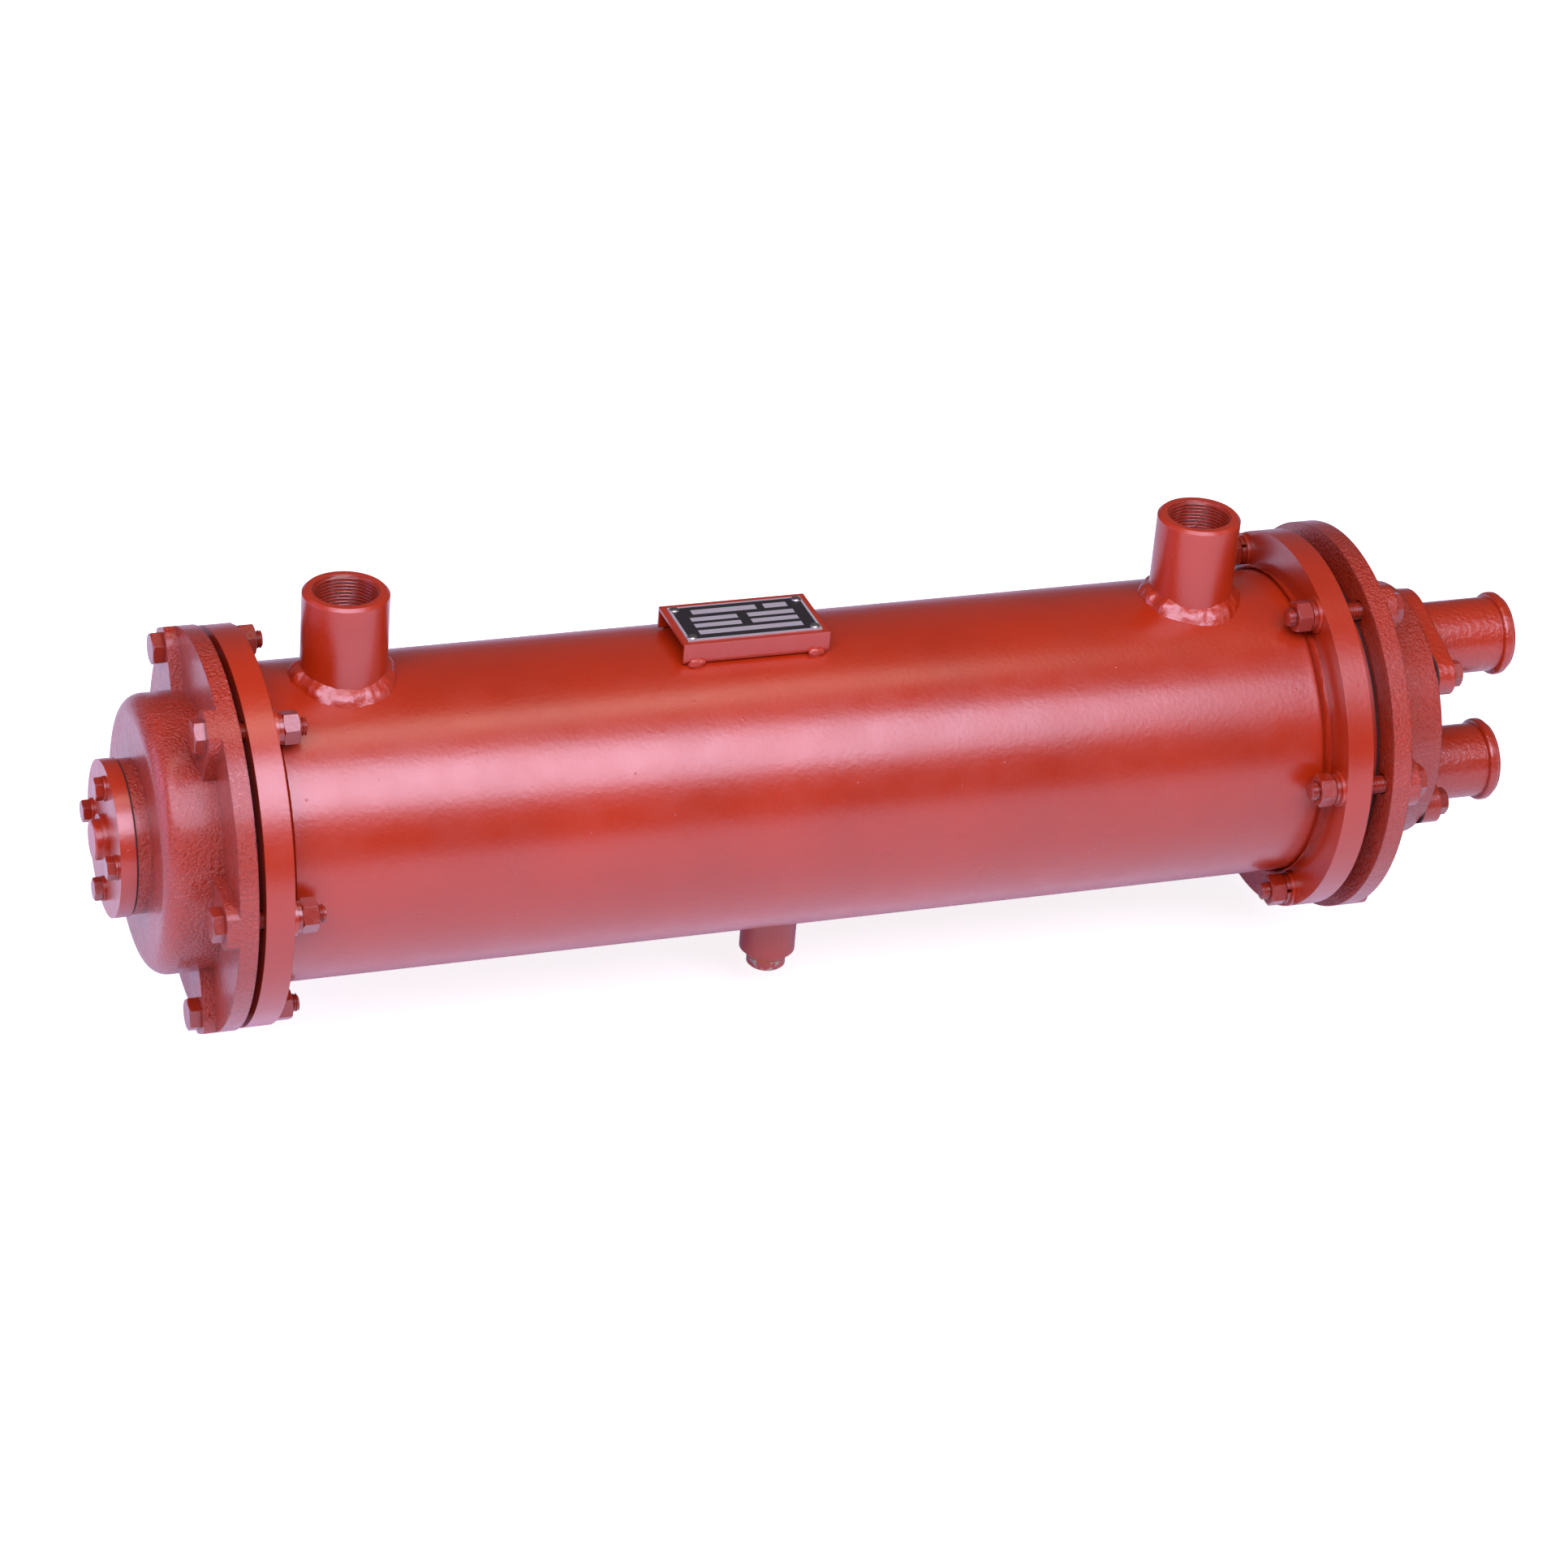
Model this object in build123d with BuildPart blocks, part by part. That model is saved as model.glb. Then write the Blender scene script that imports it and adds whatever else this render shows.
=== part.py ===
from build123d import *
import math
import os

# Shell-and-tube oil cooler, millimetres.
# The origin is on the shell axis at mid-length. +X runs towards the water
# nozzles and +Z up through the oil ports. End pieces are placed by their
# distance from mid-length, on side LEFT (-X) or RIGHT (+X).

LEFT, RIGHT = -1, 1

# ---- driving dimensions ----
# Shell
shell_radius = 101.5
shell_wall = 5.0
shell_length = 703.0            # between the inner faces of the two body flanges
running_gap = 0.3               # a loose fit between two pieces of one body

# Body flanges and their welds
flange_thickness = 18.0
shell_setback = 3.0             # the shell tube stops this far inside the flange face
flange_weld_leg = 6.0

# Main bolts, M12
bolt_wall = 13.5                # from the shell's outside to the bolts
bolt_edge = 12.0                # from the bolts to the flange's edge
bolt_count = 6
bolt_radius = 6.0
bolt_hole_gap = 0.75
bolt_head_height = 7.5
bolt_head_flats = 19.0
nut_height = 10.8
bolt_tail = 5.0                 # thread showing past the nut
spring_washer = 3.0
flat_washer = 2.5
washer_radius = 12.0
right_end_turn = -5.0           # the water header and tube bundle sit turned about X

# Joints between flange and cover
left_gasket = 4.6
gasket_bolt_gap = 1.2           # between the gaskets' edge and the bolts
right_gasket = 1.5
tube_sheet_thickness = 10.0

# Left cover, the return header
left_rim_overhang = 1.0         # past the flange's edge
left_rim = 12.0
pad_rise = 8.0
pad_width = 32.0
dome_radius = 88.5
dome_face = 71.0                # from the flange's inner face to the dome's end
dome_corner = 12.0
cover_wall = 8.0
neck_radius = 49.0
neck_height = 8.4
neck_bore = 30.0

# Anode plate on the left cover
plate_radius = 50.0
plate_thickness = 10.0
plate_gasket = 1.2
plate_bolt_circle = 36.0
plate_bolt_count = 4
plate_bolt_radius = 4.0
plate_bolt_flats = 13.0
plate_bolt_head = 5.3
plate_bolt_depth = 10.0
plate_washer = 1.6
plate_washer_radius = 8.0
anode_radius = 11.0
anode_length = 62.0
plug_collar_radius = 16.0
plug_collar = 3.0
plug_boss_radius = 13.0
plug_boss = 5.0
plug_thread_radius = 13.0

# Right cover, the inlet and outlet header
right_rim_overhang = 3.5
right_rim = 13.0
header_radius = 86.0
header_face = 88.0              # from the flange's inner face to the header's end
header_end_wall = 15.0
partition = 8.0

# Water nozzles
nozzle_offset = 47.0
nozzle_gasket = 1.5
nozzle_flange = 12.0
nozzle_flange_radius = 36.0
nozzle_tube_radius = 25.3
nozzle_bore = 21.5
nozzle_length = 67.0            # past its flange
bead_rise = 2.9
bead_width = 7.0
nozzle_bolt_offset = 57.0
nozzle_bolt_radius = 5.0
nozzle_bolt_flats = 16.0
nozzle_bolt_head = 6.4
nozzle_bolt_depth = 12.0
nozzle_washer = 2.0
nozzle_washer_radius = 10.0
nozzle_ear_radius = 13.5

# Oil ports, G1 1/4 thread at its major radius
port_left_inset = 59.5          # from the flange's inner face
port_right_inset = 69.5
port_radius = 27.4
port_height = 58.5              # above the shell
port_thread_radius = 20.95
port_thread_depth = 40.0
port_passage = 17.5
port_chamfer = 2.0
port_weld_leg = 8.0

# Drain
drain_x = 5.0
drain_boss_radius = 18.5
drain_boss_height = 36.5        # below the shell
drain_chamfer = 3.0
drain_thread_radius = 10.4
drain_passage = 7.0
drain_thread_length = 14.0
drain_head_radius = 13.0
drain_head = 8.0
drain_washer = 2.0
drain_weld_leg = 5.0
thread_clearance = 0.06

# Tube bundle
tube_radius = 6.35
tube_wall = 0.9
tube_rows = (11.0, 28.5, 46.0, 63.5)
tube_counts = (7, 8, 7, 4)
tube_pitch = 20.0
floating_sheet_gap = 0.6        # to the shell's bore
floating_sheet_thickness = 26.0
floating_sheet_setback = 1.5    # its outer face inside the flange's outer face
o_ring_groove = 5.0
o_ring_depth = 3.5
baffle_gap = 0.8
baffle_thickness = 4.0
baffle_pitch = 96.0
baffle_count = 6
baffle_cut = 54.7               # height of the window edge above or below the axis
tie_rod_radius = 4.0
tie_rod_inset = 8.7             # from the shell's bore
tie_rod_angle = 12.0
tie_rod_seat = 7.0              # depth of its blind hole in the fixed tube sheet
spacer_radius = 6.2
tie_nut_flats = 13.0
tie_nut = 6.5

# Nameplate
bracket_length = 98.0
bracket_width = 54.0
bracket_x = -29.0
bracket_rise = 12.0             # above the shell
bracket_sheet = 2.0
bracket_lip = 14.5
nameplate_length = 90.0
nameplate_width = 45.0
nameplate_sheet = 0.8
rivet_radius = 2.0
rivet_head_radius = 3.6
rivet_head = 1.6
rivet_edge = 3.8
tack_radius = 4.0
tack_spot = 40.0

# ---- derived places ----
flange_inner = shell_length / 2
flange_outer = flange_inner + flange_thickness
shell_bore = shell_radius - shell_wall
bolt_circle = shell_radius + bolt_wall
bolt_hole_radius = bolt_radius + bolt_hole_gap
flange_radius = bolt_circle + bolt_edge
gasket_radius = bolt_circle - bolt_radius - gasket_bolt_gap
left_rim_radius = flange_radius + left_rim_overhang
right_rim_radius = flange_radius + right_rim_overhang
bead_radius = nozzle_tube_radius + bead_rise
port_top = shell_radius + port_height
drain_boss_bottom = shell_radius + drain_boss_height
bracket_top = shell_radius + bracket_rise
floating_sheet_radius = shell_bore - floating_sheet_gap
baffle_radius = shell_bore - baffle_gap
left_seat = flange_outer + left_gasket
sheet_inner = flange_outer + right_gasket
sheet_outer = sheet_inner + tube_sheet_thickness
right_seat = sheet_outer + right_gasket
dome_end = flange_inner + dome_face
neck_end = dome_end + neck_height
plate_inner = neck_end + plate_gasket
plate_outer = plate_inner + plate_thickness
header_end = flange_inner + header_face
nozzle_root = header_end + nozzle_gasket
nozzle_face = nozzle_root + nozzle_flange
floating_outer = flange_outer - floating_sheet_setback
floating_inner = floating_outer - floating_sheet_thickness
drain_floor = drain_boss_bottom - drain_thread_length - 2.0
first_baffle = baffle_pitch * (baffle_count - 1) / 2
hex_corner = 1 / math.cos(math.pi / 6)

os.makedirs("parts", exist_ok=True)


# ---- shared steps ----
def save(name, builder, turn=0.0):
    """Label a finished piece, turn it about the shell axis and write it."""
    piece = builder.part.rotate(Axis.X, turn)
    piece.label = name
    export_step(piece, f"parts/{name}.step")


def start_of(side, near, far):
    """The lower X of a span given by its distances from mid-length."""
    return near if side == RIGHT else -far


def disc(side, near, far, outer, inner=0.0):
    """Add a disc or ring on the shell axis."""
    with BuildSketch(Plane.YZ.offset(start_of(side, near, far))) as profile:
        Circle(outer)
        if inner > 0:
            Circle(inner, mode=Mode.SUBTRACT)
    extrude(profile.sketch, amount=far - near)


def rounds(side, near, far, radius, spots, mode=Mode.SUBTRACT):
    """Cut or add equal cylinders along X at a list of (y, z) spots."""
    with BuildSketch(Plane.YZ.offset(start_of(side, near, far))) as profile:
        with Locations(*spots):
            Circle(radius)
    extrude(profile.sketch, amount=far - near, mode=mode)


def tubes_of(side, near, far, outer, inner, spots):
    """Add equal hollow cylinders along X."""
    with BuildSketch(Plane.YZ.offset(start_of(side, near, far))) as profile:
        with Locations(*spots):
            Circle(outer)
            Circle(inner, mode=Mode.SUBTRACT)
    extrude(profile.sketch, amount=far - near)


def hexes(side, near, far, flats, spots, mode=Mode.ADD):
    """Add equal hexagons along X, given by their width across flats."""
    with BuildSketch(Plane.YZ.offset(start_of(side, near, far))) as profile:
        with Locations(*spots):
            RegularPolygon(flats / 2 * hex_corner, 6, rotation=15)
    extrude(profile.sketch, amount=far - near, mode=mode)


def upright(x, low, high, radius, mode=Mode.ADD):
    """Add or cut a vertical cylinder at x on the shell's middle plane."""
    with BuildSketch(Plane.XY.offset(low)) as profile:
        with Locations((x, 0)):
            Circle(radius)
    extrude(profile.sketch, amount=high - low, mode=mode)


def along_shell(x, radius, mode=Mode.ADD):
    """Add or cut a cylinder on the shell axis, a shell diameter long about x."""
    with BuildSketch(Plane.YZ.offset(x - shell_radius)) as profile:
        Circle(radius)
    extrude(profile.sketch, amount=2 * shell_radius, mode=mode)


def circle_spots(radius, count, first=0.0):
    """Points (y, z) evenly spaced on a circle."""
    turns = [math.radians(first + 360 * i / count) for i in range(count)]
    return [(radius * math.cos(a), radius * math.sin(a)) for a in turns]


def tube_spots():
    """Tube centres: staggered rows, mirrored above and below the partition."""
    spots = []
    for height, count in zip(tube_rows, tube_counts):
        for i in range(count):
            y = (i - (count - 1) / 2) * tube_pitch
            spots += [(y, height), (y, -height)]
    return spots


main_spots = circle_spots(bolt_circle, bolt_count)
plate_spots = circle_spots(plate_bolt_circle, plate_bolt_count)
bundle_spots = tube_spots()
tie_rod_spots = [
    (side * y, rise * z)
    for y, z in circle_spots(shell_bore - tie_rod_inset, 1, tie_rod_angle)
    for side in (-1, 1)
    for rise in (-1, 1)
]
nozzle_heights = {"upper": nozzle_offset, "lower": -nozzle_offset}
ports = {"left": port_left_inset - flange_inner, "right": flange_inner - port_right_inset}


# ---- shell and flanges ----
with BuildPart() as shell:
    shell_end = flange_outer - shell_setback
    disc(RIGHT, -shell_end, shell_end, shell_radius, shell_bore)
    for x in ports.values():
        upright(x, 0, shell_radius, port_passage, Mode.SUBTRACT)
    upright(drain_x, -shell_radius, 0, drain_passage, Mode.SUBTRACT)
save("shell", shell)

for word, side, turn in (("left", LEFT, 0.0), ("right", RIGHT, right_end_turn)):
    with BuildPart() as body_flange:
        disc(side, flange_inner, flange_outer, flange_radius, shell_radius)
        rounds(side, flange_inner, flange_outer, bolt_hole_radius, main_spots)
    save(f"{word}_body_flange", body_flange, turn)

    with BuildPart() as flange_weld:
        toe = flange_inner - flange_weld_leg
        disc(side, toe, flange_inner, shell_radius + flange_weld_leg, shell_radius)
        outer_edges = flange_weld.edges().filter_by(GeomType.CIRCLE).group_by(SortBy.RADIUS)[-1]
        chamfer(outer_edges.sort_by(Axis.X)[0 if side == RIGHT else -1], flange_weld_leg - 0.5)
        rounds(side, toe, flange_inner, washer_radius + running_gap, main_spots)
    save(f"{word}_flange_weld", flange_weld, turn)


# ---- oil ports ----
for word, x in ports.items():
    with BuildPart() as port:
        upright(x, 0, port_top, port_radius)
        chamfer(port.faces().sort_by(Axis.Z)[-1].edges(), port_chamfer)
        along_shell(x, shell_radius, Mode.SUBTRACT)
        upright(x, 0, port_top, port_passage, Mode.SUBTRACT)
        upright(x, port_top - port_thread_depth, port_top, port_thread_radius, Mode.SUBTRACT)
    save(f"{word}_oil_port", port)

    with BuildPart() as port_weld:
        along_shell(x, shell_radius + port_weld_leg)
        upright(x, 0, port_top, port_radius + port_weld_leg, Mode.INTERSECT)
        along_shell(x, shell_radius, Mode.SUBTRACT)
        rim = port_weld.faces().sort_by(Axis.Z)[-1].edges()
        chamfer(rim, port_weld_leg - 1.5)
        upright(x, 0, port_top, port_radius, Mode.SUBTRACT)
    save(f"{word}_port_weld", port_weld)


# ---- drain ----
with BuildPart() as drain_boss:
    upright(drain_x, -drain_boss_bottom, 0, drain_boss_radius)
    chamfer(drain_boss.faces().sort_by(Axis.Z)[0].edges(), drain_chamfer)
    along_shell(drain_x, shell_radius, Mode.SUBTRACT)
    upright(drain_x, -drain_boss_bottom, 0, drain_passage, Mode.SUBTRACT)
    upright(drain_x, -drain_boss_bottom, -drain_floor, drain_thread_radius, Mode.SUBTRACT)
save("drain_boss", drain_boss)

with BuildPart() as drain_weld:
    along_shell(drain_x, shell_radius + drain_weld_leg)
    upright(drain_x, -drain_boss_bottom, 0, drain_boss_radius + drain_weld_leg, Mode.INTERSECT)
    along_shell(drain_x, shell_radius, Mode.SUBTRACT)
    chamfer(drain_weld.faces().sort_by(Axis.Z)[0].edges(), drain_weld_leg - 1.5)
    upright(drain_x, -drain_boss_bottom, 0, drain_boss_radius, Mode.SUBTRACT)
save("drain_weld", drain_weld)

with BuildPart() as drain_seal:
    washer_top = -drain_boss_bottom
    upright(drain_x, washer_top - drain_washer, washer_top, drain_head_radius + 1.0)
    upright(drain_x, washer_top - drain_washer, washer_top, drain_thread_radius + 0.2, Mode.SUBTRACT)
save("drain_plug_washer", drain_seal)

with BuildPart() as drain_plug:
    head_top = -drain_boss_bottom - drain_washer
    shank_radius = drain_thread_radius - thread_clearance
    upright(drain_x, head_top, head_top + drain_washer + drain_thread_length, shank_radius)
    upright(drain_x, head_top - drain_head, head_top, drain_head_radius)
    chamfer(drain_plug.faces().sort_by(Axis.Z)[0].edges(), 1.5)
    with BuildSketch(Plane.XY.offset(head_top - drain_head)):
        with Locations((drain_x, 0)):
            RegularPolygon(5.0 * hex_corner, 6)
    extrude(amount=7.0, mode=Mode.SUBTRACT)
save("drain_plug", drain_plug)


# ---- left cover ----
with BuildPart() as left_cover:
    disc(LEFT, left_seat, dome_end, dome_radius)
    fillet(left_cover.faces().sort_by(Axis.X)[0].edges(), dome_corner)
    disc(LEFT, left_seat, left_seat + left_rim, left_rim_radius)
    pad_end = left_seat + left_rim + pad_rise
    with BuildSketch(Plane.YZ.offset(-pad_end)):
        with PolarLocations(bolt_circle, bolt_count):
            with Locations((-pad_width, 0)):
                Rectangle(2 * pad_width, pad_width)
            Circle(pad_width / 2)
        Circle(left_rim_radius, mode=Mode.INTERSECT)
    extrude(amount=pad_rise)
    disc(LEFT, dome_end - 1.0, neck_end, neck_radius)
    rounds(LEFT, left_seat, dome_end - cover_wall, dome_radius - cover_wall, [(0, 0)])
    rounds(LEFT, left_seat, neck_end, neck_bore, [(0, 0)])
    rounds(LEFT, left_seat, pad_end, bolt_hole_radius, main_spots)
    bolt_floor = neck_end - plate_bolt_depth - 1.0
    rounds(LEFT, bolt_floor, neck_end, plate_bolt_radius + thread_clearance, plate_spots)
save("left_end_cover", left_cover)

with BuildPart() as cover_gasket:
    disc(LEFT, flange_outer, left_seat, gasket_radius, shell_bore)
save("left_cover_gasket", cover_gasket)


# ---- anode plate ----
with BuildPart() as anode_gasket:
    disc(LEFT, neck_end, plate_inner, neck_radius, neck_bore)
    rounds(LEFT, neck_end, plate_inner, plate_bolt_radius + running_gap, plate_spots)
save("anode_plate_gasket", anode_gasket)

with BuildPart() as anode_plate:
    disc(LEFT, plate_inner, plate_outer, plate_radius, plug_thread_radius)
    rounds(LEFT, plate_inner, plate_outer, plate_bolt_radius + 0.5, plate_spots)
save("anode_plate", anode_plate)

with BuildPart() as plate_washers:
    tubes_of(LEFT, plate_outer, plate_outer + plate_washer, plate_washer_radius,
             plate_bolt_radius + 0.4, plate_spots)
save("anode_plate_washers", plate_washers)

with BuildPart() as plate_bolts:
    plate_head_seat = plate_outer + plate_washer
    rounds(LEFT, neck_end - plate_bolt_depth, plate_head_seat, plate_bolt_radius, plate_spots, Mode.ADD)
    hexes(LEFT, plate_head_seat, plate_head_seat + plate_bolt_head, plate_bolt_flats, plate_spots)
save("anode_plate_bolts", plate_bolts)

with BuildPart() as anode_plug:
    disc(LEFT, plate_inner, plate_outer, plug_thread_radius - thread_clearance)
    disc(LEFT, plate_outer, plate_outer + plug_collar, plug_collar_radius)
    plug_end = plate_outer + plug_collar + plug_boss
    disc(LEFT, plate_outer + plug_collar, plug_end, plug_boss_radius)
    chamfer(anode_plug.faces().sort_by(Axis.X)[0].edges(), 1.0)
save("anode_plug", anode_plug)

with BuildPart() as anode:
    disc(LEFT, plate_inner - anode_length, plate_inner, anode_radius)
save("zinc_anode", anode)


# ---- right joint and cover ----
with BuildPart() as fixed_sheet:
    disc(RIGHT, sheet_inner, sheet_outer, gasket_radius)
    rounds(RIGHT, sheet_inner, sheet_outer, tube_radius, bundle_spots)
    rounds(RIGHT, sheet_inner, sheet_inner + tie_rod_seat, tie_rod_radius, tie_rod_spots)
save("fixed_tube_sheet", fixed_sheet, right_end_turn)

for word, near in (("inner", flange_outer), ("outer", sheet_outer)):
    with BuildPart() as sheet_gasket:
        disc(RIGHT, near, near + right_gasket, gasket_radius, shell_bore)
    save(f"{word}_tube_sheet_gasket", sheet_gasket)

with BuildPart() as right_cover:
    disc(RIGHT, right_seat, header_end, header_radius)
    disc(RIGHT, right_seat, right_seat + right_rim, right_rim_radius)
    right_pad_end = right_seat + right_rim + pad_rise
    with BuildSketch(Plane.YZ.offset(right_seat + right_rim)):
        with PolarLocations(bolt_circle, bolt_count):
            with Locations((-pad_width, 0)):
                Rectangle(2 * pad_width, pad_width)
            Circle(pad_width / 2)
        Circle(right_rim_radius, mode=Mode.INTERSECT)
    extrude(amount=pad_rise)
    header_floor = header_end - header_end_wall
    rounds(RIGHT, right_seat, header_floor, header_radius - cover_wall, [(0, 0)])
    with BuildSketch(Plane.YZ.offset(right_seat)):
        Rectangle(2 * (header_radius - cover_wall) + 2, partition)
    extrude(amount=header_floor - right_seat + 1)
    nozzle_spots = [(0, z) for z in nozzle_heights.values()]
    rounds(RIGHT, header_floor - 1, header_end, nozzle_bore, nozzle_spots)
    rounds(RIGHT, right_seat, right_pad_end, bolt_hole_radius, main_spots)
    ear_spots = [(y, z) for z in nozzle_heights.values() for y in (-nozzle_bolt_offset, nozzle_bolt_offset)]
    rounds(RIGHT, header_end - nozzle_bolt_depth - 1, header_end, nozzle_bolt_radius + thread_clearance,
           ear_spots)
save("right_end_cover", right_cover, right_end_turn)


# ---- main bolts ----
stacks = {
    "left": (LEFT, pad_end, 0.0),
    "right": (RIGHT, right_pad_end, right_end_turn),
}
for word, (side, head_seat, turn) in stacks.items():
    flat_near = flange_inner - flat_washer
    spring_near = flat_near - spring_washer
    nut_near = spring_near - nut_height
    with BuildPart() as main_bolts:
        rounds(side, nut_near - bolt_tail, head_seat, bolt_radius, main_spots, Mode.ADD)
        hexes(side, head_seat, head_seat + bolt_head_height, bolt_head_flats, main_spots)
    save(f"{word}_cover_bolts", main_bolts, turn)

    with BuildPart() as main_nuts:
        hexes(side, nut_near, spring_near, bolt_head_flats, main_spots)
        rounds(side, nut_near, spring_near, bolt_radius + thread_clearance, main_spots)
    save(f"{word}_cover_nuts", main_nuts, turn)

    with BuildPart() as spring_washers:
        tubes_of(side, spring_near, flat_near, washer_radius - 1.8, bolt_radius + running_gap, main_spots)
    save(f"{word}_spring_washers", spring_washers, turn)

    with BuildPart() as flat_washers:
        tubes_of(side, flat_near, flange_inner, washer_radius, bolt_radius + 0.5, main_spots)
    save(f"{word}_flat_washers", flat_washers, turn)


# ---- water nozzles ----
for word, height in nozzle_heights.items():
    ears = [(-nozzle_bolt_offset, height), (nozzle_bolt_offset, height)]

    def oval(near, far):
        """Add the two-eared oval of a nozzle flange, with its bolt holes."""
        with BuildSketch(Plane.YZ.offset(near)) as profile:
            with Locations((0, height)):
                Circle(nozzle_flange_radius)
            with Locations(*ears):
                Circle(nozzle_ear_radius)
            make_hull()
            with Locations((0, height)):
                Circle(nozzle_bore, mode=Mode.SUBTRACT)
            with Locations(*ears):
                Circle(nozzle_bolt_radius + 0.5, mode=Mode.SUBTRACT)
        extrude(profile.sketch, amount=far - near)

    with BuildPart() as nozzle_seal:
        oval(header_end, nozzle_root)
    save(f"{word}_nozzle_gasket", nozzle_seal, right_end_turn)

    with BuildPart() as nozzle:
        oval(nozzle_root, nozzle_face)
        nozzle_end = nozzle_face + nozzle_length
        tubes_of(RIGHT, nozzle_face, nozzle_end, nozzle_tube_radius, nozzle_bore, [(0, height)])
        tubes_of(RIGHT, nozzle_end - bead_width - 2, nozzle_end - 2, bead_radius, nozzle_bore, [(0, height)])
        bead_edges = nozzle.edges().filter_by(GeomType.CIRCLE)
        bead_edges = [e for e in bead_edges if abs(e.radius - bead_radius) < 0.01]
        fillet(bead_edges, (bead_radius - nozzle_tube_radius) * 0.8)
    save(f"{word}_water_nozzle", nozzle, right_end_turn)

with BuildPart() as nozzle_washers:
    tubes_of(RIGHT, nozzle_face, nozzle_face + nozzle_washer, nozzle_washer_radius,
             nozzle_bolt_radius + running_gap, ear_spots)
save("nozzle_washers", nozzle_washers, right_end_turn)

with BuildPart() as nozzle_bolts:
    nozzle_head_seat = nozzle_face + nozzle_washer
    rounds(RIGHT, header_end - nozzle_bolt_depth, nozzle_head_seat, nozzle_bolt_radius, ear_spots, Mode.ADD)
    hexes(RIGHT, nozzle_head_seat, nozzle_head_seat + nozzle_bolt_head, nozzle_bolt_flats, ear_spots)
save("nozzle_bolts", nozzle_bolts, right_end_turn)


# ---- tube bundle ----
with BuildPart() as floating_sheet:
    disc(LEFT, floating_inner, floating_outer, floating_sheet_radius)
    for groove in (floating_inner + 4.0, floating_outer - 4.0 - o_ring_groove):
        with BuildSketch(Plane.YZ.offset(-groove - o_ring_groove)):
            Circle(floating_sheet_radius + 1)
            Circle(floating_sheet_radius - o_ring_depth, mode=Mode.SUBTRACT)
        extrude(amount=o_ring_groove, mode=Mode.SUBTRACT)
    rounds(LEFT, floating_inner, floating_outer, tube_radius, bundle_spots)
save("floating_tube_sheet", floating_sheet, right_end_turn)

with BuildPart() as o_rings:
    for groove in (floating_inner + 4.0, floating_outer - 4.0 - o_ring_groove):
        ring_inner = floating_sheet_radius - o_ring_depth
        disc(LEFT, groove + 0.4, groove + o_ring_groove - 0.4, shell_bore, ring_inner)
save("floating_sheet_o_rings", o_rings)

with BuildPart() as tubes:
    with BuildSketch(Plane.YZ.offset(-floating_outer)):
        with Locations(*bundle_spots):
            Circle(tube_radius)
            Circle(tube_radius - tube_wall, mode=Mode.SUBTRACT)
    extrude(amount=floating_outer + sheet_outer)
save("tubes", tubes, right_end_turn)

baffle_places = [first_baffle - i * baffle_pitch for i in range(baffle_count)]
for number, x in enumerate(baffle_places, start=1):
    window = 1 if number % 2 else -1
    with BuildPart() as baffle:
        disc(RIGHT, x, x + baffle_thickness, baffle_radius)
        with BuildSketch(Plane.YZ.offset(x)):
            with Locations((0, window * (baffle_cut + baffle_radius))):
                Rectangle(2 * baffle_radius, 2 * baffle_radius)
        extrude(amount=baffle_thickness, mode=Mode.SUBTRACT)
        held = [spot for spot in bundle_spots if window * spot[1] < baffle_cut]
        rounds(RIGHT, x, x + baffle_thickness, tube_radius + running_gap, held)
        rounds(RIGHT, x, x + baffle_thickness, tie_rod_radius + running_gap, tie_rod_spots)
    save(f"baffle_{number}", baffle, right_end_turn)

rod_end = baffle_places[-1] - tie_nut - 3.0
with BuildPart() as tie_rods:
    with BuildSketch(Plane.YZ.offset(rod_end)):
        with Locations(*tie_rod_spots):
            Circle(tie_rod_radius)
    extrude(amount=sheet_inner + tie_rod_seat - rod_end)
save("tie_rods", tie_rods, right_end_turn)

with BuildPart() as spacers:
    far_ends = [sheet_inner] + baffle_places[:-1]
    for x, far in zip(baffle_places, far_ends):
        tubes_of(RIGHT, x + baffle_thickness, far, spacer_radius, tie_rod_radius + running_gap,
                 tie_rod_spots)
save("baffle_spacers", spacers, right_end_turn)

with BuildPart() as tie_nuts:
    hexes(RIGHT, baffle_places[-1] - tie_nut, baffle_places[-1], tie_nut_flats, tie_rod_spots)
    rounds(RIGHT, baffle_places[-1] - tie_nut, baffle_places[-1], tie_rod_radius + thread_clearance,
           tie_rod_spots)
save("tie_rod_nuts", tie_nuts, right_end_turn)


# ---- nameplate ----
rivet_x = nameplate_length / 2 - rivet_edge
rivet_y = nameplate_width / 2 - rivet_edge
rivet_spots = [(bracket_x + sx * rivet_x, sy * rivet_y) for sx in (-1, 1) for sy in (-1, 1)]

with BuildPart() as bracket:
    with BuildSketch(Plane.YZ.offset(bracket_x - bracket_length / 2)):
        with Locations((0, bracket_top)):
            Rectangle(bracket_width, bracket_lip, align=(Align.CENTER, Align.MAX))
            RectangleRounded(bracket_width, 2 * bracket_lip, 3.0, mode=Mode.INTERSECT)
        with Locations((0, bracket_top - bracket_sheet)):
            Rectangle(bracket_width - 2 * bracket_sheet, bracket_lip, align=(Align.CENTER, Align.MAX),
                      mode=Mode.SUBTRACT)
    extrude(amount=bracket_length)
    with BuildSketch(Plane.XY.offset(bracket_top - bracket_sheet)):
        with Locations(*rivet_spots):
            Circle(rivet_radius)
    extrude(amount=bracket_sheet, mode=Mode.SUBTRACT)
save("nameplate_bracket", bracket)

with BuildPart() as nameplate:
    with BuildSketch(Plane.XY.offset(bracket_top)):
        with Locations((bracket_x, 0)):
            Rectangle(nameplate_length, nameplate_width)
        with Locations(*rivet_spots):
            Circle(rivet_radius, mode=Mode.SUBTRACT)
    extrude(amount=nameplate_sheet)
save("nameplate", nameplate)

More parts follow.
